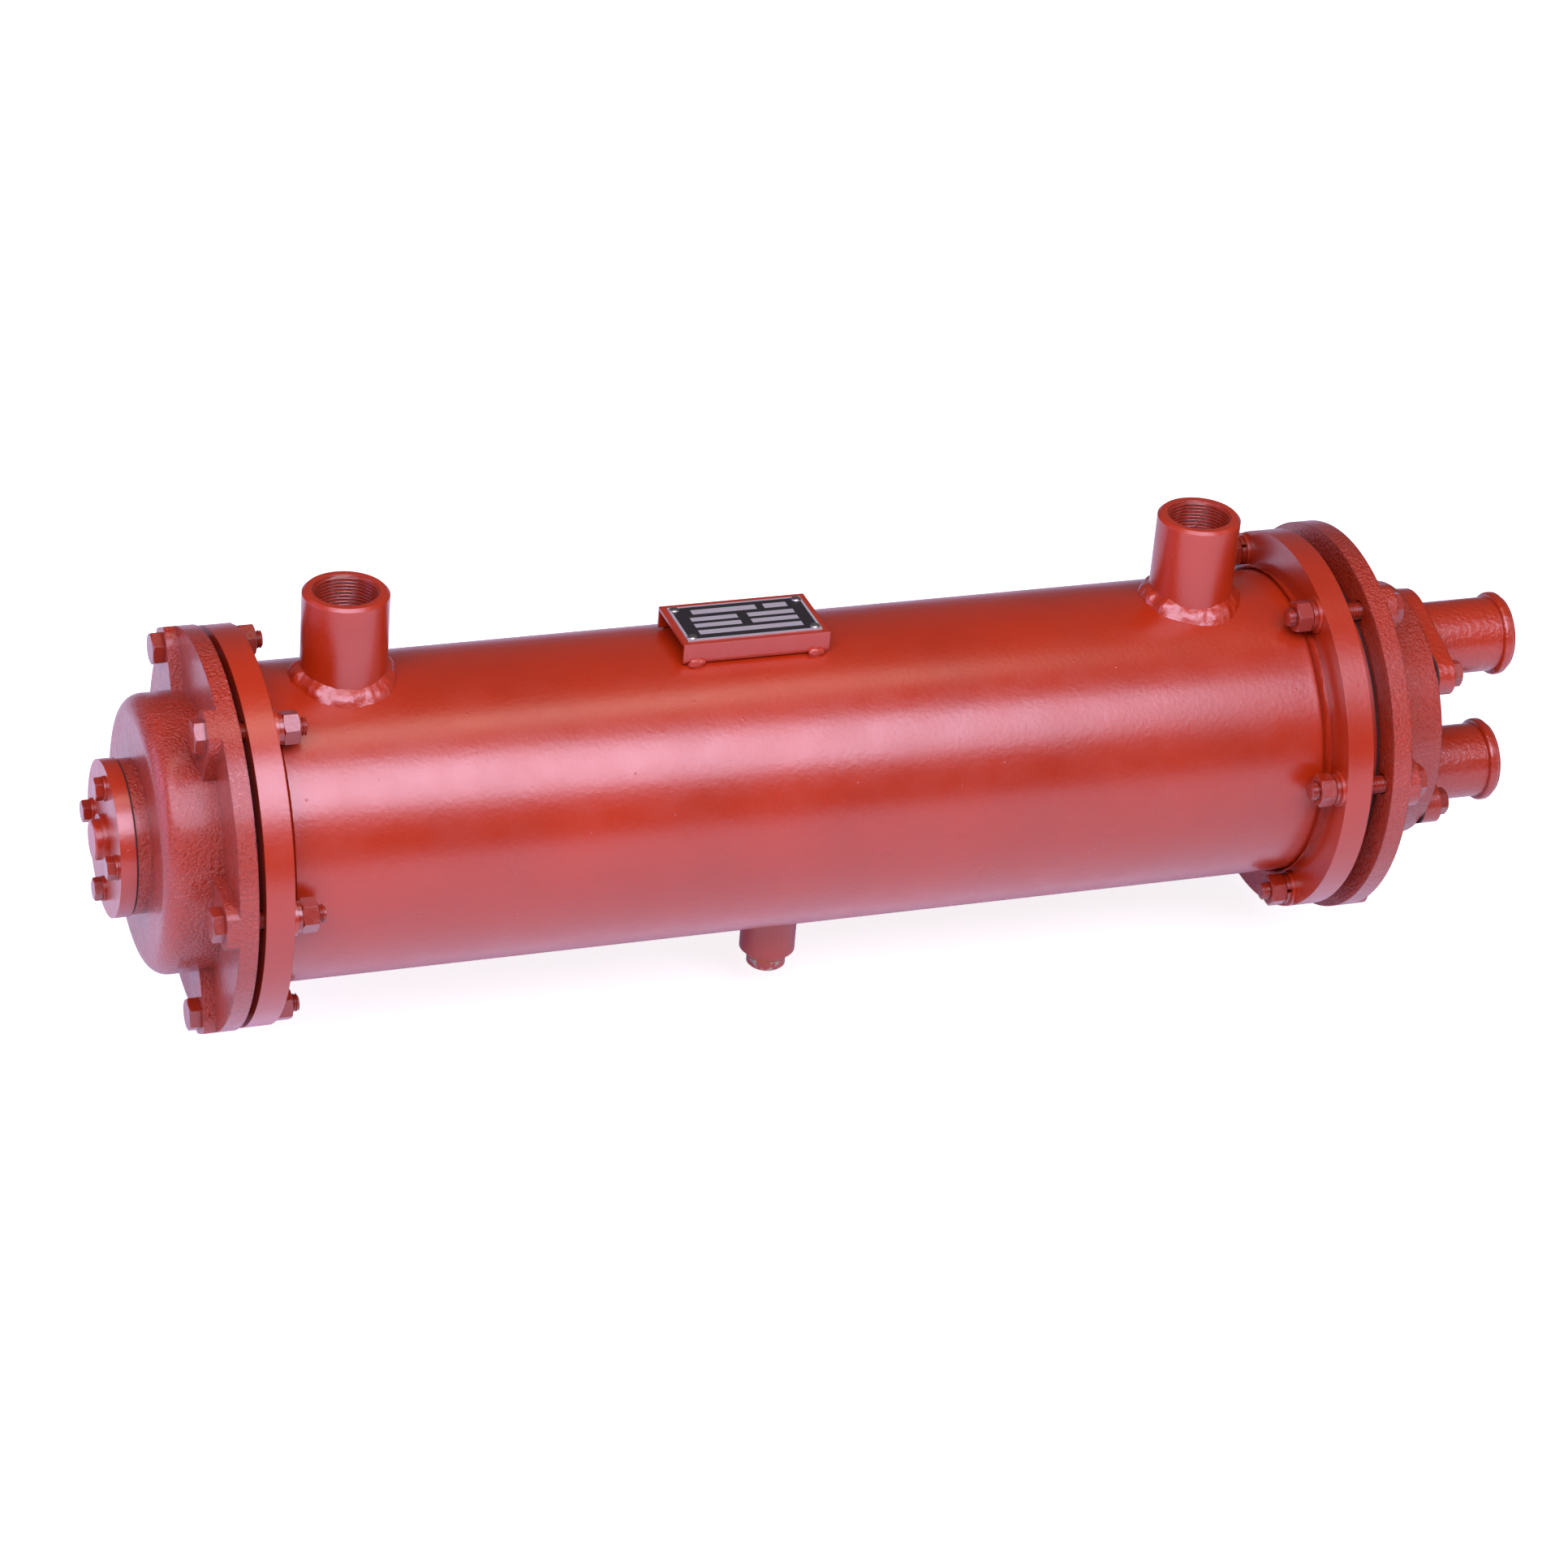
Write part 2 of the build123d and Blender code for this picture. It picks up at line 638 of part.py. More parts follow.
with BuildPart() as rivets:
    plate_face = bracket_top + nameplate_sheet
    with BuildSketch(Plane.XY.offset(bracket_top - bracket_sheet)):
        with Locations(*rivet_spots):
            Circle(rivet_radius)
    extrude(amount=bracket_sheet + nameplate_sheet)
    with BuildSketch(Plane.XY.offset(plate_face)):
        with Locations(*rivet_spots):
            Circle(rivet_head_radius)
    extrude(amount=rivet_head, taper=30)
save("nameplate_rivets", rivets)

with BuildPart() as tacks:
    lip_bottom = bracket_top - bracket_lip
    for sx in (-1, 1):
        for sy in (-1, 1):
            with Locations((bracket_x + sx * tack_spot, sy * bracket_width / 2, lip_bottom)):
                Sphere(tack_radius)
    with BuildSketch(Plane.YZ.offset(bracket_x - bracket_length / 2)):
        Circle(shell_radius)
        with Locations((0, bracket_top)):
            Rectangle(bracket_width, bracket_lip, align=(Align.CENTER, Align.MAX))
        Rectangle(bracket_width - 2 * bracket_sheet, 2 * bracket_top)
    extrude(amount=bracket_length, mode=Mode.SUBTRACT)
save("bracket_tack_welds", tacks)
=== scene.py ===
"""Studio scene of a red painted shell-and-tube oil cooler."""

import logging
import math
from dataclasses import dataclass, field
from enum import Enum
from typing import Any, Callable, Sequence

import bmesh
import bpy
from mathutils import Matrix, Vector, noise

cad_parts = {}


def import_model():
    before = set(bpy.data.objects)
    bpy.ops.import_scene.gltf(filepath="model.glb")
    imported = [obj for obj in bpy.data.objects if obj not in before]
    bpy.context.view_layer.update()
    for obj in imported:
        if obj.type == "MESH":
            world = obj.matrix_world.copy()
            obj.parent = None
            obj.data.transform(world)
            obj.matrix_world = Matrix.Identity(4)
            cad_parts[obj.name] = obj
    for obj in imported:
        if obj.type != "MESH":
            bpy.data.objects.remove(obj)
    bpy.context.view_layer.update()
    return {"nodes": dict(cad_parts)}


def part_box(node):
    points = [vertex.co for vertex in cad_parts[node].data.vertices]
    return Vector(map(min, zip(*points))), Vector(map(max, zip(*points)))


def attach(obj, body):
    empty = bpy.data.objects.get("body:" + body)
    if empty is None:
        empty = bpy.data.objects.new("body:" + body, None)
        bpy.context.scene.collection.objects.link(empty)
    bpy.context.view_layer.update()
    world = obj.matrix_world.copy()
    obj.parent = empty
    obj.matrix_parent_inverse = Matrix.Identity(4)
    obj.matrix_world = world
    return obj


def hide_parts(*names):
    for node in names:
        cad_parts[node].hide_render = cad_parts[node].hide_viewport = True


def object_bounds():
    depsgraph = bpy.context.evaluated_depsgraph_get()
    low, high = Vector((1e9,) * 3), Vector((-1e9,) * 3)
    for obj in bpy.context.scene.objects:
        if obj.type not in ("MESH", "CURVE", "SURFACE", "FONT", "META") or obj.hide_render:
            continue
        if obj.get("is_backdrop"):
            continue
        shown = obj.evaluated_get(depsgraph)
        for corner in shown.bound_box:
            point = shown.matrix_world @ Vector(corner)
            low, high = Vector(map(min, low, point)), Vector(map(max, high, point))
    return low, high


LOG = logging.getLogger("oil_cooler")
MM = 0.001
RIGHT_END_TURN = Matrix.Rotation(math.radians(-5.0), 4, "X")
NO_TURN = Matrix.Identity(4)

FINE_CREASE = 28.0
SOFT_CREASE = 80.0

Ring = list[Vector]
Tree = bpy.types.NodeTree
Socket = bpy.types.NodeSocket


# ---------------------------------------------------------------- colours and nodes
def linear(code: str) -> tuple[float, float, float, float]:
    """Turn an sRGB hex colour into linear RGBA.

    Args:
        code: Six hex digits, such as "b5381c".

    Returns:
        Linear red, green and blue, and an alpha of 1.
    """
    parts = [int(code[i : i + 2], 16) / 255 for i in (0, 2, 4)]
    red, green, blue = (c / 12.92 if c <= 0.04045 else ((c + 0.055) / 1.055) ** 2.4 for c in parts)
    return (red, green, blue, 1.0)


def add_node(
    tree: Tree, kind: str, settings: dict[str, Any], sockets: dict[str, Any]
) -> bpy.types.Node:
    """Add a node, set its properties, and set or link its inputs.

    Args:
        tree: The node tree to add to.
        kind: The node's type name.
        settings: Property values by name.
        sockets: Input values by socket name; an output socket is linked instead.

    Returns:
        The new node.
    """
    node = tree.nodes.new(kind)
    for name, value in settings.items():
        setattr(node, name, value)
    for name, value in sockets.items():
        if isinstance(value, bpy.types.NodeSocket):
            tree.links.new(value, node.inputs[name])
        else:
            node.inputs[name].default_value = value
    return node


def new_material(name: str) -> tuple[bpy.types.Material, Tree, Socket]:
    """Make an empty node material.

    Args:
        name: The material's name.

    Returns:
        The material, its tree, and the object coordinates in metres.
    """
    material = bpy.data.materials.new(name)
    material.use_nodes = True
    tree = material.node_tree
    tree.nodes.clear()
    place = tree.nodes.new("ShaderNodeTexCoord").outputs["Object"]
    return material, tree, place


def mottle(tree: Tree, place: Socket, size_mm: float, detail: float = 3.0) -> Socket:
    """Add noise whose lumps are about the given size.

    Args:
        tree: The tree to add to.
        place: Coordinates in metres.
        size_mm: The size of a lump in millimetres.
        detail: How many finer layers it has.

    Returns:
        A value from 0 to 1.
    """
    settings = {"noise_dimensions": "3D"}
    sockets = {"Vector": place, "Scale": 1 / (size_mm * MM), "Detail": detail}
    return add_node(tree, "ShaderNodeTexNoise", settings, sockets).outputs["Fac"]


def stretch(
    tree: Tree, value: Socket, low: float, high: float, to_low: float = 0.0, to_high: float = 1.0
) -> Socket:
    """Remap a value from one range to another, clamped at both ends.

    Args:
        tree: The tree to add to.
        value: The value to remap.
        low: Where the first range starts.
        high: Where the first range ends.
        to_low: Where the second range starts.
        to_high: Where the second range ends.

    Returns:
        The remapped value.
    """
    sockets = {
        "Value": value,
        "From Min": low,
        "From Max": high,
        "To Min": to_low,
        "To Max": to_high,
    }
    return add_node(tree, "ShaderNodeMapRange", {"clamp": True}, sockets).outputs["Result"]


def blend_colours(tree: Tree, factor: Any, first: Any, second: Any) -> Socket:
    """Mix two colours by a factor.

    Args:
        tree: The tree to add to.
        factor: The share of the second colour, a value or a socket.
        first: The first colour, a value or a socket.
        second: The second colour, a value or a socket.

    Returns:
        The mixed colour.
    """
    # The Mix node's sockets share names, so its factor and two colours go by number.
    node = add_node(tree, "ShaderNodeMix", {"data_type": "RGBA"}, {})
    for number, value in ((0, factor), (6, first), (7, second)):
        if isinstance(value, bpy.types.NodeSocket):
            tree.links.new(value, node.inputs[number])
        else:
            node.inputs[number].default_value = value
    return node.outputs[2]


def relief(
    tree: Tree, layers: Sequence[tuple[Socket, float]], normal: Socket | None = None
) -> Socket:
    """Stack bump layers.

    Args:
        tree: The material's tree.
        layers: Height values with the depth of each in millimetres.
        normal: The normal to start from, if it isn't the surface's own.

    Returns:
        The bumped normal.
    """
    for height, depth in layers:
        sockets = {"Height": height, "Distance": depth * MM, "Strength": 1.0}
        if normal is not None:
            sockets["Normal"] = normal
        normal = add_node(tree, "ShaderNodeBump", {}, sockets).outputs["Normal"]
    return normal


# ---------------------------------------------------------------- finishes
@dataclass(frozen=True)
class RedPaint:
    """Sprayed red enamel: satin, with orange peel, dust nibs and faint cloudy colour.

    The orange peel is drawn about twice as coarse as it is, so that it shows.
    """

    name: str
    base: str = "b12b02"
    cloud: str = "a02503"
    roughness: float = 0.31
    peel_mm: float = 3.2
    peel_depth: float = 0.16
    grain_mm: float = 0.0
    grain_depth: float = 0.0
    chips: float = 0.0
    edge_mm: float = 0.9
    cloud_mm: float = 110.0
    gloss_mm: float = 22.0
    nib_pitch_mm: float = 16.0
    nib_depth: float = 0.35

    def build(self) -> bpy.types.Material:
        """Make the node material."""
        material, tree, place = new_material(self.name)
        clouds = stretch(tree, mottle(tree, place, self.cloud_mm), 0.3, 0.75)
        colour = blend_colours(tree, clouds, linear(self.base), linear(self.cloud))
        per_nib = {"Vector": place, "Scale": 1 / (self.nib_pitch_mm * MM)}
        cells = add_node(tree, "ShaderNodeTexVoronoi", {}, per_nib)
        nibs = stretch(tree, cells.outputs["Distance"], 0.06, 0.0)
        layers = [(mottle(tree, place, self.peel_mm, 2), self.peel_depth), (nibs, self.nib_depth)]
        edge = {"Radius": self.edge_mm * MM}
        rounded = add_node(tree, "ShaderNodeBevel", {"samples": 4}, edge).outputs["Normal"]
        if self.grain_mm:
            sand = stretch(tree, mottle(tree, place, self.grain_mm, 5), 0.35, 0.72)
            layers.append((sand, self.grain_depth))
            layers.append((mottle(tree, place, 5 * self.grain_mm, 3), 1.2 * self.grain_depth))
        low, high = self.roughness - 0.04, self.roughness + 0.07
        rough = stretch(tree, mottle(tree, place, self.gloss_mm), 0.3, 0.7, low, high)
        metal: Any = 0.0
        if self.chips:
            worn = stretch(tree, mottle(tree, place, 5, 6), self.chips, self.chips + 0.03)
            rust = blend_colours(tree, mottle(tree, place, 1.5), linear("c9c4ba"), linear("7d5a3c"))
            colour = blend_colours(tree, worn, colour, rust)
            metal = stretch(tree, worn, 0.0, 1.0, 0.0, 0.7)
        sockets = {
            "Base Color": colour,
            "Roughness": rough,
            "Metallic": metal,
            "IOR": 1.6,
            "Coat Weight": 0.75,
            "Coat Roughness": 0.24,
            "Normal": relief(tree, layers, rounded),
        }
        surface = add_node(tree, "ShaderNodeBsdfPrincipled", {}, sockets)
        add_node(tree, "ShaderNodeOutputMaterial", {}, {"Surface": surface.outputs["BSDF"]})
        return material


@dataclass(frozen=True)
class BareMetal:
    """Machined, drawn or stamped metal with fine tool marks and dull patches."""

    name: str
    base: str
    dull: str
    roughness: float
    mark_mm: float = 0.8
    mark_depth: float = 0.02
    metallic: float = 1.0

    def build(self) -> bpy.types.Material:
        """Make the node material."""
        material, tree, place = new_material(self.name)
        patches = mottle(tree, place, 12)
        colour = blend_colours(tree, patches, linear(self.base), linear(self.dull))
        rough = stretch(tree, patches, 0.3, 0.7, self.roughness - 0.05, self.roughness + 0.1)
        marks = relief(tree, [(mottle(tree, place, self.mark_mm, 4), self.mark_depth)])
        sockets = {
            "Base Color": colour,
            "Metallic": self.metallic,
            "Roughness": rough,
            "Normal": marks,
        }
        surface = add_node(tree, "ShaderNodeBsdfPrincipled", {}, sockets)
        add_node(tree, "ShaderNodeOutputMaterial", {}, {"Surface": surface.outputs["BSDF"]})
        return material


@dataclass(frozen=True)
class DullSheet:
    """Gasket fibre, rubber or etched ink: matt, with a fine grain."""

    name: str
    base: str
    fleck: str
    roughness: float
    grain_mm: float = 0.6

    def build(self) -> bpy.types.Material:
        """Make the node material."""
        material, tree, place = new_material(self.name)
        grain = mottle(tree, place, self.grain_mm, 4)
        flecks = stretch(tree, grain, 0.4, 0.7)
        colour = blend_colours(tree, flecks, linear(self.base), linear(self.fleck))
        sockets = {
            "Base Color": colour,
            "Roughness": self.roughness,
            "Normal": relief(tree, [(grain, 0.03)]),
        }
        surface = add_node(tree, "ShaderNodeBsdfPrincipled", {}, sockets)
        add_node(tree, "ShaderNodeOutputMaterial", {}, {"Surface": surface.outputs["BSDF"]})
        return material


class Finish(Enum):
    """Every finish on the cooler, by the record's slot it stands for."""

    # Rolled steel under sprayed enamel: smooth and satin with a light orange peel.
    STEEL = ("painted_steel", RedPaint("red_enamel_on_rolled_steel"))
    # Grey iron sand castings under the same enamel: the sand's grain shows through.
    CASTING = (
        "painted_casting",
        RedPaint(
            "red_enamel_on_sand_cast_iron",
            roughness=0.27,
            grain_mm=2.0,
            grain_depth=1.0,
            edge_mm=2.2,
        ),
    )
    # Finer iron castings, fettled smoother than the covers.
    NOZZLE = (
        "painted_steel",
        RedPaint(
            "red_enamel_on_nozzle_castings",
            roughness=0.28,
            grain_mm=3.2,
            grain_depth=0.3,
            edge_mm=1.5,
        ),
    )
    # Weld metal under enamel: a thicker coat over a wavy bead.
    WELD = (
        "painted_steel",
        RedPaint("red_enamel_on_weld_bead", roughness=0.32, grain_mm=3.5, grain_depth=0.3),
    )
    # Turned and hexagon fasteners under thin, glossier enamel. Its base and cloud colours are a darker
    # copy of the shell's enamel: painted shade that makes the bolts, nuts, washers, screws and port
    # threads read darker.
    FASTENER = (
        "painted_steel",
        RedPaint("red_enamel_on_fasteners_with_painted_shade", base="9a2408", cloud="861f08", roughness=0.25),
    )
    # The drain plug's paint is chipped by the spanner, down to steel and light rust.
    CHIPPED = ("chipped_plug", RedPaint("chipped_enamel_on_plug", chips=0.53))
    # Brushed and anodised aluminium: pale and matt, between a metal's and a film's shine.
    ALUMINIUM = (
        "plate_aluminium",
        BareMetal("anodised_aluminium_plate", "c9c2c0", "b3aaa8", 0.42, metallic=0.35),
    )
    RIVET = ("rivet_aluminium", BareMetal("aluminium_rivet", "cfcac6", "a8a09a", 0.25))
    COPPER = ("copper_tube", BareMetal("drawn_copper_nickel_tube", "c08a63", "96633f", 0.3))
    WASHER = ("copper_washer", BareMetal("annealed_copper_washer", "b5714a", "8a4e32", 0.4))
    BRASS = ("naval_brass", BareMetal("machined_naval_brass", "b59a5c", "8f7740", 0.3))
    STEEL_BARE = ("plain_steel", BareMetal("mill_finish_steel", "8a8988", "66615e", 0.4))
    ZINC = ("zinc", BareMetal("cast_zinc_anode", "9b9fa3", "7c8084", 0.55, 2.0, 0.1))
    GASKET = ("gasket_fibre", DullSheet("compressed_fibre_gasket", "2c1512", "45201a", 0.8))
    RUBBER = ("nitrile_rubber", DullSheet("nitrile_rubber", "121212", "1c1c1c", 0.5))
    INK = ("plate_aluminium", DullSheet("etched_black_ground", "1f1c1b", "2a2624", 0.5, 0.4))

    @property
    def slot(self) -> str:
        """The record's material slot."""
        return self.value[0]

    def material(self) -> bpy.types.Material:
        """The node material, made once."""
        made = bpy.data.materials.get(self.value[1].name)
        return made or self.value[1].build()


# ---------------------------------------------------------------- mesh making
def add_skin(
    mesh: bmesh.types.BMesh,
    rings: Sequence[Ring],
    closed: bool = True,
    capped: bool = False,
    index: int = 0,
) -> None:
    """Skin a row of equal rings with quads.

    Args:
        mesh: The mesh to add to.
        rings: Rings of points, each with as many points as the first.
        closed: Whether each ring's last point joins its first.
        capped: Whether the first and last rings are filled.
        index: Material index of the new faces.
    """
    made = [[mesh.verts.new(point) for point in ring] for ring in rings]
    count = len(made[0])
    for near, far in zip(made, made[1:]):
        for i in range(count if closed else count - 1):
            j = (i + 1) % count
            face = mesh.faces.new((near[i], near[j], far[j], far[i]))
            face.material_index = index
    if capped:
        for ring in (made[0][::-1], made[-1]):
            mesh.faces.new(ring).material_index = index


def circle(
    x: float, radius: float, count: int, wobble: Callable[[float], float] | None = None
) -> Ring:
    """Make a ring of points about the X axis.

    Args:
        x: The ring's place along X.
        radius: Its radius.
        count: How many points it has.
        wobble: What is added to the radius at a turn, in metres.

    Returns:
        The points.
    """
    ring = []
    for i in range(count):
        turn = 2 * math.pi * i / count
        r = radius + (wobble(turn) if wobble else 0.0)
        ring.append(Vector((x, r * math.cos(turn), r * math.sin(turn))))
    return ring


def finish_piece(
    name: str,
    mesh: bmesh.types.BMesh,
    finishes: Sequence[Finish],
    nodes: Sequence[str] = (),
    body: str = "cooler",
    sharp: float = 35.0,
) -> bpy.types.Object:
    """Turn a mesh into a finished piece that rides on a body.

    Args:
        name: The piece's name.
        mesh: The mesh, which is freed.
        finishes: One finish per material index.
        nodes: CAD nodes that the piece stands for.
        body: The body it rides on.
        sharp: Edges over this angle, in degrees, stay crisp.

    Returns:
        The new object.
    """
    bmesh.ops.remove_doubles(mesh, verts=mesh.verts, dist=1e-6)
    bmesh.ops.recalc_face_normals(mesh, faces=mesh.faces)
    data = bpy.data.meshes.new(name)
    mesh.to_mesh(data)
    mesh.free()
    smooth(data, sharp)
    piece = bpy.data.objects.new(name, data)
    bpy.context.scene.collection.objects.link(piece)
    for finish in finishes:
        data.materials.append(finish.material())
    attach(piece, body)
    if nodes:
        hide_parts(*nodes)
    LOG.info("%s: %d faces", name, len(data.polygons))
    return piece


def smooth(data: bpy.types.Mesh, sharp: float) -> None:
    """Shade a mesh smooth, with crisp edges over an angle in degrees."""
    data.polygons.foreach_set("use_smooth", [True] * len(data.polygons))
    data.set_sharp_from_angle(angle=math.radians(sharp))


def lump(place: Vector, size: float) -> float:
    """Smooth noise from -1 to 1 with lumps about the given size in metres."""
    return noise.noise(place / size)


# ---------------------------------------------------------------- welds
@dataclass
class WeldBeads:
    """Hand-laid fillet welds, drawn as rippled lumpy beads over the CAD welds."""

    port_radius: float = 27.4 * MM
    leg: float = 7.6 * MM
    boss_radius: float = 18.5 * MM
    boss_leg: float = 5.0 * MM
    flange_leg: float = 6.5 * MM
    ripple: float = 0.12 * MM
    ripple_pitch: float = 6.0 * MM
    profile_steps: int = 9
    bite: float = 0.4 * MM  # how far a bead reaches into the branch
    sink: float = 0.5 * MM  # how far it reaches into the shell
    round_points: int = 220
    flange_points: int = 440
    flange_ripples: int = 106

    def saddle(
        self, name: str, node: str, x: float, radius: float, leg: float, side: int, shell: float
    ) -> None:
        """Lay a bead round a branch where it meets the shell.

        Args:
            name: The piece's name.
            node: The CAD weld it stands for.
            x: The branch's place along the shell.
            radius: The branch's outer radius.
            leg: The bead's leg.
            side: 1 on top of the shell, -1 under it.
            shell: The shell's radius.
        """
        mesh = bmesh.new()
        count = self.round_points
        rows = []
        for i in range(count):
            turn = 2 * math.pi * i / count
            way = Vector((math.cos(turn), math.sin(turn), 0))
            ripple = self.ripple * math.sin(turn * round(2 * math.pi * radius / self.ripple_pitch))
            spot = way * radius + Vector((x, 0, 0))
            reach = leg * (1 + 0.30 * lump(spot, 15 * MM) + 0.07 * lump(spot, 6 * MM)) + ripple
            row = []
            for k in range(self.profile_steps):
                swing = math.pi / 2 * k / (self.profile_steps - 1)
                out = radius - self.bite + reach * (1 - math.cos(swing))
                rise = reach * (1 - math.sin(swing))
                knob = lump(spot + Vector((0, 0, rise)), 8.0 * MM)
                bulge = (0.30 + 0.16 * knob) * reach * math.sin(2 * swing)
                out += bulge
                rise += bulge
                ground = math.sqrt(max(shell**2 - (out * way.y) ** 2, 0.0)) - self.sink
                row.append(Vector((x + out * way.x, out * way.y, side * (ground + rise))))
            rows.append(row)
        rows.append([p.copy() for p in rows[0]])
        add_skin(mesh, rows, closed=False)
        finish_piece(name, mesh, [Finish.WELD], [node], sharp=SOFT_CREASE)

    def flange(self, name: str, node: str, x: float, side: int, shell: float) -> None:
        """Lay a bead round the shell against a body flange.

        Args:
            name: The piece's name.
            node: The CAD weld it stands for.
            x: Where the flange's inner face is.
            side: 1 at the right end, -1 at the left.
            shell: The shell's radius.
        """
        mesh = bmesh.new()
        rings = []
        for k in range(self.profile_steps):
            swing = math.pi / 2 * k / (self.profile_steps - 1)
            back = self.flange_leg * (1 - math.sin(swing))
            rise = self.flange_leg * 0.55 * (1 - math.cos(swing))

            def wobble(turn: float, rise: float = rise, back: float = back) -> float:
                """The bead's height at a turn, with its ripples."""
                waves = math.sin(turn * self.flange_ripples)
                uneven = 0.6 * MM * lump(Vector((back * 9, turn * 12, x)), 1.0)
                return rise * (1 + 0.05 * waves) + uneven

            spot = x - side * (self.flange_leg - back)
            rings.append(circle(spot, shell - 0.3 * MM, self.flange_points, wobble))
        add_skin(mesh, rings)
        finish_piece(name, mesh, [Finish.WELD], [node], sharp=SOFT_CREASE)

    def tacks(self) -> None:
        """Lay the four small tacks that hold the nameplate bracket."""
        low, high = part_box("bracket_tack_welds")
        mesh = bmesh.new()
        size = Vector((5.5, 2.2, 3.4)) * MM
        for x in (low.x + 4 * MM, high.x - 4 * MM):
            for y in (low.y + 3.6 * MM, high.y - 3.6 * MM):
                made = bmesh.ops.create_icosphere(mesh, subdivisions=4, radius=1.0)
                for vert in made["verts"]:
                    swell = 1 + 0.22 * lump(vert.co + Vector((x, y, 0)) * 90, 0.7)
                    vert.co = Vector((x, y, high.z - 3.0 * MM)) + vert.co * size * swell
        finish_piece("bracket_tacks", mesh, [Finish.WELD], ["bracket_tack_welds"], sharp=SOFT_CREASE)

    def build(self) -> None:
        """Lay every bead."""
        self.tacks()
        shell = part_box("shell")[1].y
        branches = (
            ("left_port_bead", "left_port_weld", "left_oil_port", self.port_radius, self.leg, 1),
            ("right_port_bead", "right_port_weld", "right_oil_port", self.port_radius, self.leg, 1),
            ("drain_bead", "drain_weld", "drain_boss", self.boss_radius, self.boss_leg, -1),
        )
        for name, node, branch, radius, leg, side in branches:
            low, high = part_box(branch)
            self.saddle(name, node, (low.x + high.x) / 2, radius, leg, side, shell)
        left_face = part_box("left_body_flange")[1].x
        right_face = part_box("right_body_flange")[0].x
        self.flange("left_flange_bead", "left_flange_weld", left_face, -1, shell)
        self.flange("right_flange_bead", "right_flange_weld", right_face, 1, shell)


# ---------------------------------------------------------------- fasteners
@dataclass
class HexFastener:
    """Shapes shared by the cooler's hexagon bolts and nuts."""

    flats: float
    shank: float
    pitch: float
    hexagon_points: int = 72
    thread_points: int = 28
    tip: float = 0.2 * MM  # the closed centre of a face

    def outline(self, turn: float) -> float:
        """The hexagon's reach from its centre at a turn."""
        within = (turn % (math.pi / 3)) - math.pi / 6
        return self.flats / 2 / math.cos(within)

    def hexagon(
        self,
        mesh: bmesh.types.BMesh,
        near: float,
        far: float,
        place: Matrix,
        bore: float,
        both: bool,
    ) -> None:
        """Add a hexagon with its 30 degree chamfer.

        Args:
            mesh: The mesh to add to.
            near: The seat's place along X.
            far: The free end's place along X.
            place: Where the fastener stands.
            bore: Radius of the hole, or 0.
            both: Whether the seat end is chamfered too.
        """
        count = self.hexagon_points
        way = 1 if far > near else -1
        crown = self.flats / 2 * 0.96

        def rim(x: float, inward: float) -> Ring:
            """The outline near an end, cut back where the corners are chamfered."""
            ring = []
            for i in range(count):
                turn = 2 * math.pi * i / count
                r = self.outline(turn)
                cut = max(r - crown, 0.0) * math.tan(math.pi / 6)
                spot = Vector((x + inward * cut, r * math.cos(turn), r * math.sin(turn)))
                ring.append(place @ spot)
            return ring

        def disc(x: float, r: float) -> Ring:
            """A placed circle."""
            return [place @ p for p in circle(x, r, count)]

        rings = [disc(near, bore or self.tip), disc(near, crown)]
        rings.append(rim(near, way if both else 0.0))
        rings += [rim(far, -way), disc(far, crown), disc(far, bore or self.tip)]
        if bore:
            rings.append([p.copy() for p in rings[0]])
        add_skin(mesh, rings)

    def thread(self, mesh: bmesh.types.BMesh, near: float, far: float, place: Matrix) -> None:
        """Add a helical thread with a chamfered end.

        Args:
            mesh: The mesh to add to.
            near: Where the thread starts along X.
            far: Where it ends.
            place: Where the fastener stands.
        """
        count = self.thread_points
        steps = max(int(abs(far - near) / self.pitch * 6), 2)
        depth = 0.61 * self.pitch
        rings = []
        for k in range(steps + 1):
            x = near + (far - near) * k / steps
            left = abs(far - x)

            def wobble(turn: float, x: float = x, left: float = left) -> float:
                """The thread's depth at a turn."""
                phase = (x / self.pitch + turn / (2 * math.pi)) % 1.0
                return max(-depth * (1 - abs(2 * phase - 1)), -depth) - max(0.8 * MM - left, 0.0)

            rings.append([place @ p for p in circle(x, self.shank, count, wobble)])
        rings.append([place @ p for p in circle(far, self.tip, count)])
        add_skin(mesh, rings)


